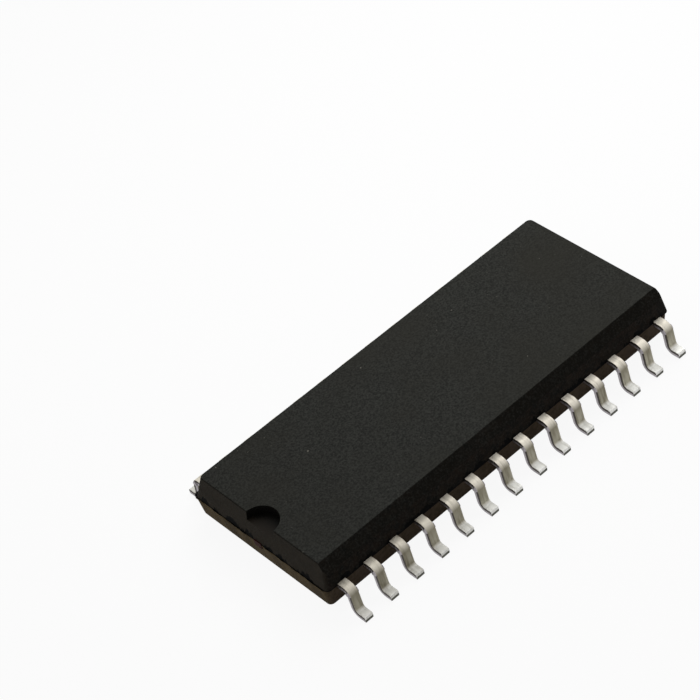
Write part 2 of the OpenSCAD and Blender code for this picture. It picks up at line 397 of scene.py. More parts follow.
def pick(obj, kind, test):
    """Selects the faces or edges of the open object that pass a test."""
    bpy.ops.mesh.select_mode(type=kind)
    bpy.ops.mesh.select_all(action="DESELECT")
    mesh = bmesh.from_edit_mesh(obj.data)
    parts = mesh.faces if kind == "FACE" else mesh.edges
    chosen = [part for part in parts if test(part)]
    if not chosen:
        raise RuntimeError(f"nothing to select on {obj.name}")
    for part in chosen:
        part.select_set(True)
    bmesh.update_edit_mesh(obj.data)


def bevel_selected(radius, segments):
    """Rounds the selected edges."""
    bpy.ops.mesh.bevel(
        offset=radius, offset_type="OFFSET", segments=segments, profile=0.5, affect="EDGES",
        clamp_overlap=True,
    )


def apply_modifier(obj, kind, **settings):
    """Adds a modifier and applies it."""
    modifier = obj.modifiers.new(kind.title(), kind)
    for name, value in settings.items():
        setattr(modifier, name, value)
    make_active(obj)
    bpy.ops.object.modifier_apply(modifier=modifier.name)


def combine(obj, other, operation):
    """Joins another solid to an object, or cuts it out, and removes the other one."""
    apply_modifier(obj, "BOOLEAN", object=other, operation=operation, solver="EXACT")
    bpy.data.objects.remove(other)


def weld_open_mesh():
    """Merges the open object's doubles and turns its faces outwards."""
    bpy.ops.mesh.select_all(action="SELECT")
    bpy.ops.mesh.remove_doubles(threshold=WELD)
    bpy.ops.mesh.normals_make_consistent(inside=False)


def close_mesh(obj):
    """Merges an object's doubles and turns every face outwards."""
    edit(obj)
    weld_open_mesh()
    leave_edit()


def smooth(obj, angle):
    """Smooth shading over edges flatter than an angle."""
    make_active(obj)
    bpy.ops.object.shade_smooth_by_angle(angle=angle)


def place_piece(piece, slot_name, *nodes):
    """Hands a finished piece to the frame in place of its CAD nodes."""
    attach(piece, "root")
    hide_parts(*nodes)


def new_material(name):
    """A node material, with its tree and its surface shader."""
    made = bpy.data.materials.new(name)
    made.use_nodes = True
    return made, made.node_tree, made.node_tree.nodes["Principled BSDF"]


def add_node(tree, kind, inputs=None, **settings):
    """A node whose inputs are values or the outputs of other nodes."""
    made = tree.nodes.new(kind)
    for name, value in settings.items():
        setattr(made, name, value)
    for key, value in (inputs or {}).items():
        if isinstance(value, bpy.types.NodeSocket):
            tree.links.new(value, made.inputs[key])
        else:
            made.inputs[key].default_value = value
    return made


def object_coordinates(tree):
    """Object coordinates, in metres."""
    return add_node(tree, "ShaderNodeTexCoord").outputs["Object"]


def scaled(tree, vector, scale):
    """A vector stretched along the axes."""
    return add_node(tree, "ShaderNodeMapping", {"Vector": vector, "Scale": scale}).outputs["Vector"]


def noise_of(tree, vector, feature, detail=3.0, rough=0.55):
    """Noise with features of about a given size."""
    inputs = {"Vector": vector, "Scale": 1 / feature, "Detail": detail, "Roughness": rough}
    return add_node(tree, "ShaderNodeTexNoise", inputs).outputs["Fac"]


def remap(tree, value, low, high, to_low=0.0, to_high=1.0):
    """A value stretched from one range to another, and clamped."""
    inputs = {"Value": value, "From Min": low, "From Max": high, "To Min": to_low, "To Max": to_high}
    return add_node(tree, "ShaderNodeMapRange", inputs).outputs["Result"]


def remap_from(tree, value, origin, span):
    """A value remapped over a range that is given by distances from an origin."""
    low, high, *gives = span
    return remap(tree, value, origin + low, origin + high, *gives)


def vary(tree, pattern, low, high):
    """Noise, which keeps to the middle of its range, spread from a low value to a high one."""
    return remap(tree, pattern, *NOISE_SPAN, low, high)


def mix_colour(tree, factor, first, second):
    """A colour between two others, each of them a node's output or a colour without alpha."""
    sockets = {0: factor}
    for key, colour in ((6, first), (7, second)):
        sockets[key] = colour if isinstance(colour, bpy.types.NodeSocket) else (*colour, 1)
    return add_node(tree, "ShaderNodeMix", sockets, data_type="RGBA").outputs[2]


def arithmetic(tree, operation, first, second):
    """One sum on two values."""
    return add_node(tree, "ShaderNodeMath", {0: first, 1: second}, operation=operation).outputs["Value"]


def product(tree, first, second):
    """One value times another."""
    return arithmetic(tree, "MULTIPLY", first, second)


def square(tree, value):
    """A value times itself."""
    return product(tree, value, value)


def absolute(tree, value):
    """A value without its sign."""
    return add_node(tree, "ShaderNodeMath", {0: value}, operation="ABSOLUTE").outputs["Value"]


def axis_of(tree, vector, axis):
    """One component of a vector."""
    return add_node(tree, "ShaderNodeSeparateXYZ", {"Vector": vector}).outputs[axis]


def facing(tree, axis):
    """One component of the surface's own direction."""
    normal = add_node(tree, "ShaderNodeNewGeometry").outputs["Normal"]
    return axis_of(tree, normal, axis)


def set_surface(tree, shader, colour, roughness, metallic=0.0, specular=0.5):
    """Links a surface's colour and roughness, and sets its constants on the shader's own sockets."""
    tree.links.new(colour, shader.inputs["Base Color"])
    tree.links.new(roughness, shader.inputs["Roughness"])
    shader.inputs["Metallic"].default_value = metallic
    shader.inputs["Specular IOR Level"].default_value = specular


def bump(tree, shader, height, strength, depth):
    """Raises the surface by a height pattern."""
    made = add_node(tree, "ShaderNodeBump", {"Height": height, "Strength": strength, "Distance": depth})
    tree.links.new(made.outputs["Normal"], shader.inputs["Normal"])


def face_shade(tree, place, look):
    """Colour of the body's broad faces: fine grain, a faint cloud and a few pale specks of filler."""
    grain = noise_of(tree, place, look.grain, detail=4, rough=0.65)
    cloud = noise_of(tree, place, CLOUD, detail=2)
    specks = noise_of(tree, place, SPECK, detail=1)
    grained = remap(tree, grain, *GRAIN_SPAN)
    shade = mix_colour(tree, grained, look.grain_dark, look.grain_light)
    shade = mix_colour(tree, remap(tree, cloud, *CLOUD_SPAN), shade, look.tint)
    shade = mix_colour(tree, remap(tree, specks, *SPECK_SPAN), shade, look.speck)
    return shade, grain, cloud


def wall_shade(tree, place, look):
    """Colour of the upper half's walls: dark, patchy long sides and paler ends, the sides' dark painted
    shade and the ends' paler tone painted light, for how the light falls on them.
    """
    patches = remap(tree, noise_of(tree, place, PATCH, detail=4, rough=0.7), *PATCH_SPAN)
    sides = mix_colour(tree, patches, look.flash, look.side_wall)
    dulled = product(tree, patches, END_PATCHES)
    ends = mix_colour(tree, dulled, look.end_wall, look.edge)
    return mix_colour(tree, remap(tree, square(tree, facing(tree, "X")), *END_FACING), sides, ends)


def upper_material(look):
    """Filled epoxy of the upper half: spark-eroded grain, pale specks, a ragged near-black band just above
    the parting line, painted shade on its long sides, rounded edges and bevel, and painted light on its
    ends.
    """
    made, tree, shader = new_material("mould_compound_upper")
    place = object_coordinates(tree)
    height = axis_of(tree, place, "Z")
    upward = facing(tree, "Z")
    shade, grain, cloud = face_shade(tree, place, look)
    # The walls take their own colours: painted shade on the long sides, painted light on the ends.
    shade = mix_colour(tree, remap(tree, upward, *WALL_FACING), shade, wall_shade(tree, place, look))
    # Painted shade: the rounded edges and the bevel, facing between up and sideways, are painted darker in
    # the edge colour, broken up by the cloud.
    rounded = remap(tree, upward, *EDGE_FACING_FROM)
    rounded = product(tree, rounded, remap(tree, upward, *EDGE_FACING_TO))
    above_notch = remap_from(tree, height, BODY_HIGH.z - look.notch_depth, ABOVE_FLOOR)
    rounded = product(tree, rounded, above_notch)
    edge_shade = product(tree, rounded, remap(tree, cloud, *EDGE_SHADE_CLOUD))
    shade = mix_colour(tree, edge_shade, shade, look.edge)
    glints = product(tree, remap(tree, grain, *GLINTS), remap(tree, upward, *GLINT_FACING))
    shade = mix_colour(tree, glints, shade, look.grain_light)
    # A ragged near-black band is painted just above the parting plane.
    dark_band_edge = noise_of(tree, scaled(tree, place, DARK_BAND_STRETCH), DARK_BAND_WANDER, detail=4, rough=0.6)
    above = arithmetic(tree, "SUBTRACT", height, remap(tree, dark_band_edge, *DARK_BAND_REACH))
    ragged = remap_from(tree, above, look.parting_height, RAGGED)
    shade = mix_colour(tree, ragged, shade, look.flash)
    set_surface(tree, shader, shade, vary(tree, grain, 0.62, 0.8), specular=0.03)
    bump(tree, shader, grain, strength=0.5, depth=0.02 * MM)
    return made


def lower_material(look):
    """Filled epoxy of the lower half: smoother and browner, its walls lighter than its underside, partly the
    compound's own tone and partly painted light for light bounced up from the floor.
    """
    made, tree, shader = new_material("mould_compound_lower")
    place = object_coordinates(tree)
    grain = noise_of(tree, place, 2 * look.grain, detail=4, rough=0.6)
    runs = noise_of(tree, scaled(tree, place, RUN_STRETCH), RUN, detail=3)
    mottle = product(tree, arithmetic(tree, "ADD", grain, runs), 0.5)
    mottled = remap(tree, mottle, *MOTTLE_SPAN)
    # Partly painted light: the walls take lighter colours than the underside.
    shade = mix_colour(tree, mottled, look.lower_dark, look.lower_light)
    greyed = product(tree, square(tree, facing(tree, "Y")), remap(tree, mottle, *GREYED))
    shade = mix_colour(tree, greyed, shade, look.lower_side)
    underside = face_shade(tree, place, look)[0]
    shade = mix_colour(tree, remap(tree, facing(tree, "Z"), *UNDERSIDE_FACING), shade, underside)
    set_surface(tree, shader, shade, vary(tree, grain, 0.5, 0.68), specular=0.01)
    bump(tree, shader, mottle, strength=0.3, depth=0.02 * MM)
    return made


def notch_material(look, floor):
    """The notch: the same epoxy, smooth from a polished pin in the mould, its wall and root painted nearly
    black and its floor painted darker away from the mouth, as painted shade and shadow.
    """
    made, tree, shader = new_material("mould_compound_notch")
    place = object_coordinates(tree)
    along = axis_of(tree, place, "X")
    grain = noise_of(tree, place, look.grain, detail=2)
    points = {0: scaled(tree, place, FLATTENED), 1: (floor.x, floor.y, 0)}
    reach = add_node(tree, "ShaderNodeVectorMath", points, operation="DISTANCE").outputs["Value"]
    # Painted shade and shadow: the wall and the floor's root take the near-black notch colour, and the floor
    # is painted darker away from the mouth.
    clear = remap_from(tree, reach, look.notch_radius, NOTCH_ROOT)
    clear = arithmetic(tree, "MAXIMUM", clear, remap_from(tree, along, floor.x, NOTCH_MOUTH))
    lying = product(tree, remap(tree, facing(tree, "Z"), *NOTCH_FACING), clear)
    lit = product(tree, lying, remap_from(tree, along, floor.x, NOTCH_OUTWARD))
    dark = mix_colour(tree, grain, look.notch, look.edge)
    shade = mix_colour(tree, lit, dark, look.end_wall)
    set_surface(tree, shader, shade, vary(tree, grain, 0.5, 0.6), specular=0.05)
    bump(tree, shader, grain, strength=0.1, depth=0.01 * MM)
    return made


def plate_material(look, wall_y, tip_y):
    """Matte tin plate, streaked down the legs and browner next to the body. Painted light and shade: bright
    where it lies flat and at the rolled tips, dull down the legs and on the leads at the -X end.
    """
    made, tree, shader = new_material("tin_plate")
    place = object_coordinates(tree)
    dull = look.dull_and_shade
    spread = absolute(tree, axis_of(tree, place, "Y"))
    streaks = noise_of(tree, scaled(tree, place, STREAK_STRETCH), STREAK, detail=3)
    cloud = noise_of(tree, place, TARNISH, detail=3)
    drawn = mix_colour(tree, remap(tree, streaks, *STREAK_SPAN), dull, look.drawn)
    # The legs are darker towards their tops.
    drawn = mix_colour(tree, remap(tree, axis_of(tree, place, "Z"), *UPPER_LEG_DARKER), drawn, dull)
    pressed = remap_from(tree, spread, tip_y, PRESSED)
    bright = mix_colour(tree, pressed, look.plate, look.foot)
    # Painted light: the rolled tip of each foot is painted near white, and further in it is counted as lying
    # flat, so that it shows no shaded crease.
    bright = mix_colour(tree, remap_from(tree, spread, tip_y, TIP_RIM_LIGHT), bright, look.tip_rim_light)
    bright = mix_colour(tree, remap(tree, streaks, *FAINT_STREAKS), bright, dull)
    # Painted light and shade: faces lying flat, with the rolled tips counted among them, take the bright
    # plate colours, and upright faces the darker drawn ones.
    level = absolute(tree, facing(tree, "Z"))
    lying = arithmetic(tree, "ADD", level, product(tree, cloud, LYING_CLOUD))
    lying = arithmetic(tree, "ADD", lying, remap_from(tree, spread, tip_y, ROLLED_TIP_LIGHT))
    shade = mix_colour(tree, remap(tree, lying, *LYING_SPAN), drawn, bright)
    # Painted shade: the leads towards the -X end are painted duller, for the light that falls off away from
    # the softbox.
    near_end = remap(tree, axis_of(tree, place, "X"), *NEAR_END)
    shade = mix_colour(tree, product(tree, near_end, NEAR_END_SHADE), shade, dull)
    # Browner next to the body wall, with a wandering edge, fading along X by the same share as the painted
    # shade at the -X end.
    edge = arithmetic(tree, "ADD", spread, product(tree, cloud, ROOT_BROWN_WANDER))
    stain = product(tree, remap_from(tree, edge, wall_y, ROOT_BROWN_SPAN), near_end)
    shade = mix_colour(tree, stain, shade, look.root_brown)
    set_surface(tree, shader, shade, vary(tree, cloud, 0.55, 0.7), metallic=0.5)
    bump(tree, shader, streaks, strength=0.25, depth=0.008 * MM)
    return made


def grained_colour(tree, pattern, span, colour, dark_share):
    """A colour broken by a darker grain of its own kind."""
    dark = tuple(dark_share * part for part in colour)
    return mix_colour(tree, remap(tree, pattern, *span), dark, colour)


def stamped_material(name, colour, rough):
    """The stamped side or cut end of a lead, scored by the tool."""
    made, tree, shader = new_material(name)
    scores = noise_of(tree, scaled(tree, object_coordinates(tree), SCORE_STRETCH), SCORE, detail=4)
    shade = grained_colour(tree, scores, PATCH_SPAN, colour, SCORED_DARK)
    set_surface(tree, shader, shade, vary(tree, scores, rough - 0.08, rough + 0.08), metallic=1)
    bump(tree, shader, scores, strength=0.3, depth=0.01 * MM)
    return made


def copper_material(look):
    """Bare copper alloy, tarnished dark where the tie bars are cut off at the body's ends."""
    made, tree, shader = new_material("bare_copper")
    place = object_coordinates(tree)
    grain = noise_of(tree, place, COPPER_GRAIN, detail=4)
    shade = grained_colour(tree, grain, NOISE_SPAN, look.copper, GRAINED_DARK)
    cut = remap_from(tree, absolute(tree, axis_of(tree, place, "X")), BODY_HIGH.x, CUT_END)
    shade = mix_colour(tree, cut, shade, look.cut_copper)
    set_surface(tree, shader, shade, vary(tree, grain, 0.6, 0.75), metallic=0.3, specular=0.05)
    bump(tree, shader, grain, strength=0.2, depth=0.006 * MM)
    return made


def inner_material(name, colour, metallic, rough, feature):
    """A piece inside the body: one colour broken by a fine grain."""
    made, tree, shader = new_material(name)
    grain = noise_of(tree, object_coordinates(tree), feature, detail=4)
    shade = grained_colour(tree, grain, NOISE_SPAN, colour, GRAINED_DARK)
    set_surface(tree, shader, shade, vary(tree, grain, rough - 0.06, rough + 0.06), metallic=metallic)
    bump(tree, shader, grain, strength=0.2, depth=0.1 * feature)
    return made


def rise_of(edge):
    """Difference in height between an edge's ends."""
    return abs(edge.verts[0].co.z - edge.verts[1].co.z)


def drafted_half(name, look, shift, cap_height, drafts):
    """One half of the body: a block drawn in towards its cap and rounded at its upright corners."""
    half_length = BODY_HIGH.x - look.lip_reach
    half_width = BODY_HIGH.y - look.lip_reach
    depth = abs(cap_height - look.parting_height)
    low = Vector((-half_length, -half_width + shift, min(cap_height, look.parting_height)))
    high = Vector((half_length, half_width + shift, max(cap_height, look.parting_height)))
    half = add_block(name, low, high)
    edit(half)
    pick(half, "FACE", lambda face: abs(face.calc_center_median().z - cap_height) < ON_PLANE)
    ends, pin_side, other_side = (depth * math.tan(draft) for draft in drafts)
    draw = (1 - ends / half_length, 1 - (pin_side + other_side) / (2 * half_width), 1)
    bpy.ops.transform.resize(value=draw, center_override=(0, shift, cap_height))
    bpy.ops.transform.translate(value=(0, (pin_side - other_side) / 2, 0))
    pick(half, "EDGE", lambda edge: rise_of(edge) > depth / 2)
    bevel_selected(look.corner_radius, CORNER_STEPS)
    leave_edit()
    return half


def cut_pin_one_bevel(half, look, shift):
    """Slices the long top edge of the pin-1 side off and blends the slice into the wall."""
    top = BODY_HIGH.z
    half_width = BODY_HIGH.y - look.lip_reach
    rise = top - look.parting_height
    wall_top_y = shift - half_width + rise * math.tan(look.bevel_side_draft)
    slope = Vector((0, math.cos(look.bevel_angle), math.sin(look.bevel_angle)))
    run = look.bevel_width / (slope.y - slope.z * math.tan(look.bevel_side_draft))
    upper_edge = Vector((0, wall_top_y + look.bevel_width, top))
    lower_edge = upper_edge - run * slope
    outward = (0, -slope.z, slope.y)
    edit(half)
    bpy.ops.mesh.select_all(action="SELECT")
    bpy.ops.mesh.bisect(
        plane_co=upper_edge, plane_no=outward, use_fill=True, clear_outer=True, threshold=ON_CUT
    )

    def long_edge(edge):
        return abs(edge.verts[0].co.x - edge.verts[1].co.x) > half_width

    def on_lower_edge(edge):
        return long_edge(edge) and all(abs(v.co.z - lower_edge.z) < ON_EDGE for v in edge.verts)

    def on_upper_edge(edge):
        return long_edge(edge) and all((v.co - upper_edge).yz.length < ON_EDGE for v in edge.verts)

    pick(half, "EDGE", on_lower_edge)
    turn = math.pi / 2 - look.bevel_side_draft - look.bevel_angle
    bevel_selected(look.blend_radius * math.tan(turn / 2), BLEND_STEPS)
    pick(half, "EDGE", on_upper_edge)
    bevel_selected(look.edge_radius / 2, EDGE_STEPS)
    leave_edit()


def soften_edges(obj, radius, spared_height):
    """Rounds every sharp edge that doesn't lie on the parting plane."""
    edit(obj)

    def sharp(edge):
        if not edge.is_manifold or edge.calc_face_angle() < SHARP:
            return False
        return any(abs(v.co.z - spared_height) > ON_PLANE for v in edge.verts)

    pick(obj, "EDGE", sharp)
    bevel_selected(radius, EDGE_STEPS)
    leave_edit()


def parting_lip(look):
    """The thin lip of flash along the parting line, its edge wandering a little."""
    half_length, half_width = BODY_HIGH.x, BODY_HIGH.y
    low = (-half_length, -half_width, look.parting_height - look.lip_thickness)
    lip = add_block("parting_lip", low, (half_length, half_width, look.parting_height))
    edit(lip)
    pick(lip, "EDGE", lambda edge: rise_of(edge) > look.lip_thickness / 2)
    bevel_selected(look.corner_radius + look.lip_reach, CORNER_STEPS)
    pick(lip, "EDGE", lambda edge: edge.calc_length() > half_width)
    bpy.ops.mesh.subdivide(number_cuts=LIP_CUTS)
    mesh = bmesh.from_edit_mesh(lip.data)
    for vert in mesh.verts:
        wander = look.lip_wander * min(1, max(0, 0.5 + noise.noise(vert.co / LIP_WAVE)))
        inward = Vector((-math.copysign(wander, vert.co.x), -math.copysign(wander, vert.co.y), 0))
        if abs(vert.co.x) < half_length - look.lip_reach:
            inward.x = 0
        if abs(vert.co.y) < half_width - look.lip_reach:
            inward.y = 0
        vert.co += inward
    bmesh.update_edit_mesh(lip.data)
    leave_edit()
    return lip


def finish_body(body, look, notch_floor):
    """Gives the body its materials: the upper half's all over, then the lower half's and the notch's."""
    body.data.materials.append(upper_material(look))
    body.data.materials.append(lower_material(look))
    body.data.materials.append(notch_material(look, notch_floor))
    for face in body.data.polygons:
        inside = (face.center.xy - notch_floor.xy).length < look.notch_radius + ON_STRIP
        on_floor = face.normal.z > SQUARE and abs(face.center.z - notch_floor.z) < ON_PLANE
        upright = abs(face.normal.z) < UPRIGHT and face.normal.x < OUT_OF_NOTCH
        on_wall = upright and face.center.z > notch_floor.z
        if face.center.z < look.parting_height - LEVEL:
            face.material_index = LOWER_FINISH
        elif inside and (on_floor or on_wall):
            face.material_index = NOTCH_FINISH


class CHIP_OT_mould_body(bpy.types.Operator):
    """Models the moulded body and gives it its grain"""

    bl_idname = "chip.mould_body"
    bl_label = "Mould body"

    def execute(self, context):
        look = context.scene.chip_body
        shift = -look.half_shift
        upper_drafts = (look.end_draft, look.bevel_side_draft, look.side_draft)
        upper = drafted_half("upper_half", look, shift, BODY_HIGH.z, upper_drafts)
        soften_edges(upper, look.edge_radius, look.parting_height)
        cut_pin_one_bevel(upper, look, shift)
        rise = BODY_HIGH.z - look.parting_height
        end_x = rise * math.tan(look.end_draft) - (BODY_HIGH.x - look.lip_reach)
        middle_y = shift + rise * (math.tan(look.bevel_side_draft) - math.tan(look.side_draft)) / 2
        notch_floor = Vector((end_x, middle_y, BODY_HIGH.z - look.notch_depth))
        above_top = Vector((end_x, middle_y, BODY_HIGH.z + look.notch_depth))
        notch = add_rod("notch", look.notch_radius, notch_floor, above_top)
        combine(upper, notch, "DIFFERENCE")
        lower = drafted_half("lower_half", look, 0, BODY_LOW.z, 3 * (look.lower_draft,))
        soften_edges(lower, look.edge_radius, look.parting_height)
        mark_top = Vector((0, 0, BODY_LOW.z + look.ejector_depth))
        pin_end = mark_top - Vector((0, 0, MARK_PIN))
        mark = add_rod("ejector_mark", look.ejector_diameter / 2, pin_end, mark_top)
        combine(lower, mark, "DIFFERENCE")
        combine(upper, lower, "UNION")
        combine(upper, parting_lip(look), "UNION")
        upper.name = "moulded_body"
        close_mesh(upper)
        smooth(upper, BODY_SMOOTH)
        apply_modifier(upper, "WEIGHTED_NORMAL", keep_sharp=True)
        finish_body(upper, look, notch_floor)
        place_piece(upper, "mould_compound", "mould_body")
        return {"FINISHED"}


def finger_tip(node, root):
    """Middle of the inner end of a lead, found as the part of the CAD node furthest from its root."""
    points = [vert.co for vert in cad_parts[node].data.vertices]
    inner = [point for point in points if abs(point.y) < abs(root.y)]
    furthest = max(inner, key=lambda point: (point.xy - root.xy).length)
    near = [point for point in inner if (point.xy - furthest.xy).length < FINGER_END]
    return sum((point.xy for point in near), Vector((0, 0))) / len(near)


class LeadForm:
    """Where a lead's bends lie, worked out from the frame and the sizes of the strip."""

    def __init__(self, look, body):
        self.tip_y = FIRST_LEAD_LOW.y
        self.shoulder_top = FIRST_LEAD_HIGH.z
        self.bend_out = look.bend_radius + look.thickness
        self.turn = math.pi / 2 - look.leg_lean
        self.down = Vector((0, -math.sin(look.leg_lean), -math.cos(look.leg_lean)))
        self.outward = Vector((0, -math.cos(look.leg_lean), math.sin(look.leg_lean)))
        self.heel = Vector((0, self.tip_y + look.foot_length, look.thickness + look.bend_radius))
        knee_z = self.shoulder_top - self.bend_out
        across = (self.bend_out + look.bend_radius) * self.outward
        self.leg_run = (self.heel.z - knee_z - across.z) / self.down.z
        self.knee = self.heel - across - self.leg_run * self.down
        self.tip_axis = Vector((0, self.tip_y + look.tip_roll, look.thickness - look.tip_roll))
        self.root_y = -(BODY_HIGH.y - body.lip_reach) + look.root_depth


def from_axis(point, axis):
    """Distance of a point from a bend's axis, which runs along X."""
    return math.hypot(point.y - axis.y, point.z - axis.z)


def depth_in_strip(point, form, look):
    """How deep a point lies under the strip's outer face."""
    if point.y > form.knee.y:
        return form.shoulder_top - point.z
    along_leg = (point - form.knee).dot(form.down)
    if along_leg < 0:
        return form.bend_out - from_axis(point, form.knee)
    if along_leg < form.leg_run:
        return form.bend_out - (point - form.knee).dot(form.outward)
    if point.y > form.heel.y:
        return from_axis(point, form.heel) - look.bend_radius
    if point.y < form.tip_axis.y and point.z > form.tip_axis.z:
        return look.tip_roll - from_axis(point, form.tip_axis)
    return look.thickness - point.z


def extrude_to(offset):
    """Draws the selected end of the strip out along a straight line."""
    bpy.ops.mesh.extrude_region_move(TRANSFORM_OT_translate={"value": offset})


def bend_about(axis, angle):
    """Draws the selected end of the strip round a bend."""
    bpy.ops.mesh.spin(steps=BEND_STEPS, angle=angle, center=axis, axis=(1, 0, 0))


def draw_strip(look, form):
    """A stamped section drawn out of the body, bent down and bent out again, and left open for shaping."""
    deselect()
    middle = (0, form.root_y, form.shoulder_top - look.thickness / 2)
    bpy.ops.mesh.primitive_plane_add(size=1, location=middle, rotation=(math.pi / 2, 0, 0))
    lead = bpy.context.active_object
    lead.name = "formed_lead"
    lead.scale = (look.width, look.thickness, 1)
    apply_place(lead)
    edit(lead)
    bpy.ops.mesh.select_mode(type="FACE")
    bpy.ops.mesh.select_all(action="SELECT")
    bpy.ops.mesh.subdivide(number_cuts=STRIP_CUTS)
    extrude_to((0, form.knee.y - form.root_y, 0))
    bend_about(form.knee, -form.turn)
    extrude_to(form.leg_run * form.down)
    bend_about(form.heel, form.turn)
    extrude_to((0, form.tip_y - form.heel.y, 0))
    weld_open_mesh()
    return lead


def round_strip(lead, look, form):
    """Rounds the top of the tip and the outer edges, and breaks the burred inner edges."""

    def on_tip(edge):
        at_end = all(v.co.y < form.tip_y + LEVEL for v in edge.verts)
        return at_end and all(v.co.z > look.thickness - LEVEL for v in edge.verts)

    def along_edge(depth):
        def test(edge):
            ends = [v.co for v in edge.verts]
            if any(abs(abs(point.x) - look.width / 2) > LEVEL for point in ends):
                return False
            return all(abs(depth_in_strip(point, form, look) - depth) < ON_STRIP for point in ends)

        return test

    pick(lead, "EDGE", on_tip)
    bevel_selected(look.tip_roll, ROLL_STEPS)
    pick(lead, "EDGE", along_edge(0))
    bevel_selected(look.rolled_edge, ROLL_STEPS)
    pick(lead, "EDGE", along_edge(look.thickness))
    bevel_selected(look.burr_edge, BURR_STEPS)


def raise_stubs(lead, look, form):
    """Draws what is left of the dam bar out of both sides of the upper bend."""

    def on_stub(side):
        def test(face):
            spot = face.calc_center_median()
            angle = math.degrees(math.atan2(spot.z - form.knee.z, form.knee.y - spot.y))
            on_bend = spot.z > form.knee.z and STUB_FROM < angle < STUB_TO
            return on_bend and face.normal.x * side > SQUARE

        return test

    for side in (-1, 1):
        pick(lead, "FACE", on_stub(side))
        extrude_to((side * look.stub_height, 0, 0))
        bpy.ops.transform.resize(value=(1, STUB_TAPER, STUB_TAPER))


def form_lead(look, form):
    """One lead: a stamped strip, bent, rounded at its edges and with the dam bar's stubs."""
    lead = draw_strip(look, form)
    round_strip(lead, look, form)
    raise_stubs(lead, look, form)
    leave_edit()
    return lead


def finish_lead(lead, form, look):
    """Sorts the strip's faces by material: plate all over, two strips on the stamped sides, the cut tip."""
    for face in lead.data.polygons:
        if face.normal.y < OUT_AT_TIP and face.center.y < form.tip_y + ON_PLANE:
            bare = face.center.z < BARE_TIP * look.thickness
            face.material_index = TIP_FINISH if bare else PLATE_FINISH
        elif abs(face.center.x) > look.width / 2 + STUB_PART * look.stub_height:
            face.material_index = STAMPED_FINISH
        elif abs(face.normal.x) > SQUARE:
            deep = depth_in_strip(face.center, form, look) > look.thickness / 2
            face.material_index = STAMPED_FINISH if deep else FRACTURE_FINISH
    smooth(lead, LEAD_SMOOTH)


def set_lead(master, number, form, look):
    """Copies the lead to its place and draws its finger out inside the body."""
    node = f"lead_{number:02d}"
    make_active(master)
    bpy.ops.object.duplicate(linked=False)
    lead = bpy.context.active_object
    lead.name = "formed_" + node
    far_side = number > LEADS_PER_SIDE
    index = (number - 1) % LEADS_PER_SIDE
    turned = -1 if far_side else 1
    x = turned * (index - (LEADS_PER_SIDE - 1) / 2) * LEAD_PITCH
    lead.location = (x, 0, 0)
    lead.rotation_euler = (0, 0, math.pi if far_side else 0)
    apply_place(lead)
    root = Vector((x, turned * form.root_y, 0))
    tip = finger_tip(node, root)
    away = tip - root.xy
    edit(lead)
    pick(lead, "FACE", lambda face: all(abs(v.co.y - root.y) < LEVEL for v in face.verts))
    extrude_to((away.x, away.y, 0))
    middle = (tip.x, tip.y, form.shoulder_top - look.thickness / 2)
    bpy.ops.transform.resize(value=(look.finger_width / look.width, 1, 1), center_override=middle)
    leave_edit()
    place_piece(lead, "tin_plated_lead", node)


class CHIP_OT_leads(bpy.types.Operator):
    """Forms one lead and sets copies of it along both sides"""

    bl_idname = "chip.leads"
    bl_label = "Leads"

    def execute(self, context):
        look = context.scene.chip_lead
        body = context.scene.chip_body
        form = LeadForm(look, body)
        master = form_lead(look, form)
        finish_lead(master, form, look)
        wall_y = BODY_HIGH.y - body.lip_reach
        finishes = [
            plate_material(look, wall_y, -form.tip_y),
            stamped_material("stamped_edge", look.sheared, rough=0.4),
            stamped_material("fracture_strip", look.fracture, rough=0.55),
            stamped_material("cut_tip", look.tip, rough=0.5),
        ]
        for finish in finishes:
            master.data.materials.append(finish)
        for number in range(1, 2 * LEADS_PER_SIDE + 1):
            set_lead(master, number, form, look)
        bpy.data.objects.remove(master)
        return {"FINISHED"}


class CHIP_OT_inner_pieces(bpy.types.Operator):
    """Gives the paddle, adhesive, die and bond wires inside the body their materials"""

    bl_idname = "chip.inner_pieces"
    bl_label = "Inner pieces"

    def execute(self, context):
        look = context.scene.chip_inner
        finishes = {
            "die_paddle": ("copper_frame", copper_material(look)),
            "die_attach": ("die_adhesive", inner_material("die_adhesive", look.adhesive, 0, 0.6, 0.04 * MM)),
            "silicon_die": ("silicon", inner_material("silicon", look.silicon, 0, 0.2, 0.12 * MM)),
            "bond_wires": ("gold_wire", inner_material("gold_wire", look.gold, 1, 0.25, 0.02 * MM)),
        }
        for node, (slot_name, finish) in finishes.items():
            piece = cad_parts[node]
            piece.data.materials.clear()
            piece.data.materials.append(finish)
        return {"FINISHED"}


def seen_share(tree, share):
    """A share for what the camera, a reflection or a look through glass sees, and none for other light."""
    path = add_node(tree, "ShaderNodeLightPath").outputs
    seen = arithmetic(tree, "MAXIMUM", path["Is Camera Ray"], path["Is Glossy Ray"])
    seen = arithmetic(tree, "MAXIMUM", seen, path["Is Transmission Ray"])
    return product(tree, seen, share)


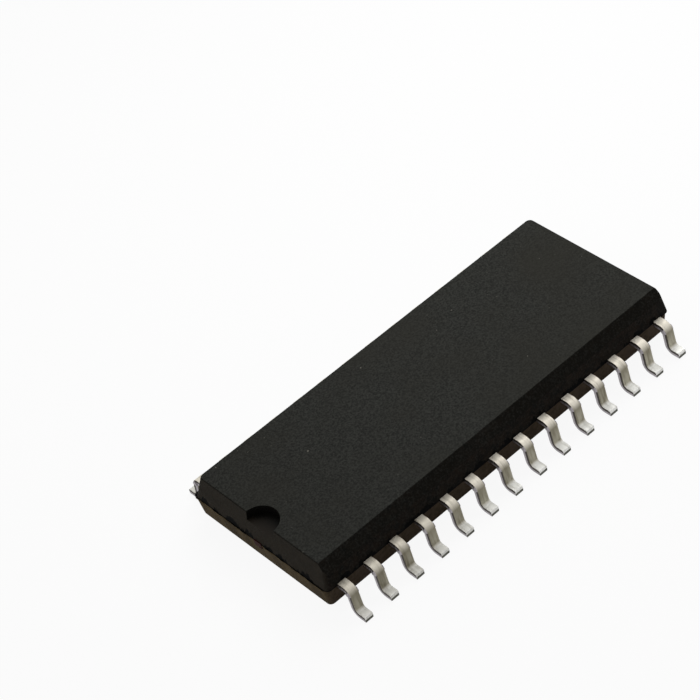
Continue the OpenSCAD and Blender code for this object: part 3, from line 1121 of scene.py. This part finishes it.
def add_floor(look):
    """A wide pale floor at the level of the feet, seen nearly white and with a soft shadow."""
    deselect()
    bpy.ops.mesh.primitive_plane_add(size=FLOOR_SIZE, location=(0, 0, 0))
    floor = bpy.context.active_object
    floor.name = "floor"
    made, tree, shader = new_material("floor_paper")
    fibre = noise_of(tree, object_coordinates(tree), FIBRE)
    dark = tuple(FIBRE_DARK * part for part in look.floor)
    shade = mix_colour(tree, fibre, dark, look.floor)
    tree.links.new(shade, shader.inputs["Base Color"])
    shader.inputs["Roughness"].default_value = 1
    shader.inputs["Specular IOR Level"].default_value = 0
    white = add_node(tree, "ShaderNodeEmission", {"Color": (1, 1, 1, 1), "Strength": 1.0})
    mixed = add_node(
        tree,
        "ShaderNodeMixShader",
        {0: seen_share(tree, look.white_floor), 1: shader.outputs["BSDF"], 2: white.outputs["Emission"]},
    )
    tree.links.new(mixed.outputs["Shader"], tree.nodes["Material Output"].inputs["Surface"])
    floor.data.materials.append(made)


def add_softbox(look):
    """A square soft lamp above the far end, turned to the origin."""
    deselect()
    place = Vector(look.key_place)
    bpy.ops.object.light_add(type="AREA", location=place)
    lamp = bpy.context.active_object
    lamp.name = "key_softbox"
    lamp.data.shape = "SQUARE"
    lamp.data.size = look.key_size
    lamp.data.energy = look.key_radiance * math.pi * look.key_size * look.key_size
    lamp.rotation_mode = "QUATERNION"
    lamp.rotation_quaternion = (-place).to_track_quat("-Z", "Y")


def set_sky(look):
    """Soft surroundings, seen white, that light from behind and the left and hardly from in front."""
    world = bpy.data.worlds.new("studio")
    bpy.context.scene.world = world
    world.use_nodes = True
    tree = world.node_tree
    tree.nodes.clear()
    direction = add_node(tree, "ShaderNodeTexCoord").outputs["Generated"]
    behind = product(tree, axis_of(tree, direction, "Y"), SKY_BEHIND)
    leftward = product(tree, axis_of(tree, direction, "X"), SKY_LEFT)
    towards = arithmetic(tree, "ADD", behind, leftward)
    glow = remap(tree, towards, *SKY_SPAN, look.sky_dark, look.sky_bright)
    strength = arithmetic(tree, "MAXIMUM", glow, seen_share(tree, 1))
    background = add_node(tree, "ShaderNodeBackground", {"Color": (1, 1, 1, 1), "Strength": strength})
    output = add_node(tree, "ShaderNodeOutputWorld")
    tree.links.new(background.outputs["Background"], output.inputs["Surface"])


def add_camera(look):
    """The camera at the photograph's place."""
    deselect()
    place, target = Vector(look.camera_place), Vector(look.camera_target)
    bpy.ops.object.camera_add(location=place)
    camera = bpy.context.active_object
    camera.name = "camera"
    level = (target - place).to_track_quat("-Z", "Y")
    camera.rotation_mode = "QUATERNION"
    camera.rotation_quaternion = level @ Quaternion((0, 0, 1), look.camera_roll)
    camera.data.lens = look.lens
    camera.data.clip_start = SIGHT_FROM
    camera.data.clip_end = SIGHT_TO
    bpy.context.scene.camera = camera


class CHIP_OT_stage(bpy.types.Operator):
    """Sets up the floor, the soft light and the camera"""

    bl_idname = "chip.stage"
    bl_label = "Stage"

    def execute(self, context):
        look = context.scene.chip_stage
        add_floor(look)
        add_softbox(look)
        set_sky(look)
        add_camera(look)
        context.scene.view_settings.view_transform = "Standard"
        return {"FINISHED"}


class CHIP_PT_panel(bpy.types.Panel):
    """Lists the steps that build the chip, and its settings"""

    bl_idname = "CHIP_PT_panel"
    bl_label = "Chip"
    bl_space_type = "VIEW_3D"
    bl_region_type = "UI"
    bl_category = "Chip"

    def draw(self, context):
        for operator in OPERATORS:
            self.layout.operator(operator.bl_idname)
        for name in LOOKS:
            box = self.layout.box()
            for key in LOOKS[name].__annotations__:
                box.prop(getattr(context.scene, name), key)


OPERATORS = (CHIP_OT_mould_body, CHIP_OT_leads, CHIP_OT_inner_pieces, CHIP_OT_stage)
CLASSES = (*LOOKS.values(), *OPERATORS, CHIP_PT_panel)


def register():
    """Adds the classes and the scene's settings."""
    for one in CLASSES:
        bpy.utils.register_class(one)
    for name, look in LOOKS.items():
        setattr(bpy.types.Scene, name, bpy.props.PointerProperty(type=look))


def unregister():
    """Takes them away again."""
    for name in LOOKS:
        delattr(bpy.types.Scene, name)
    for one in reversed(CLASSES):
        bpy.utils.unregister_class(one)


def main():
    """Builds every piece in order."""
    register()
    bpy.ops.chip.mould_body()
    bpy.ops.chip.leads()
    bpy.ops.chip.inner_pieces()
    bpy.ops.chip.stage()


if __name__ == "__main__":
    main()
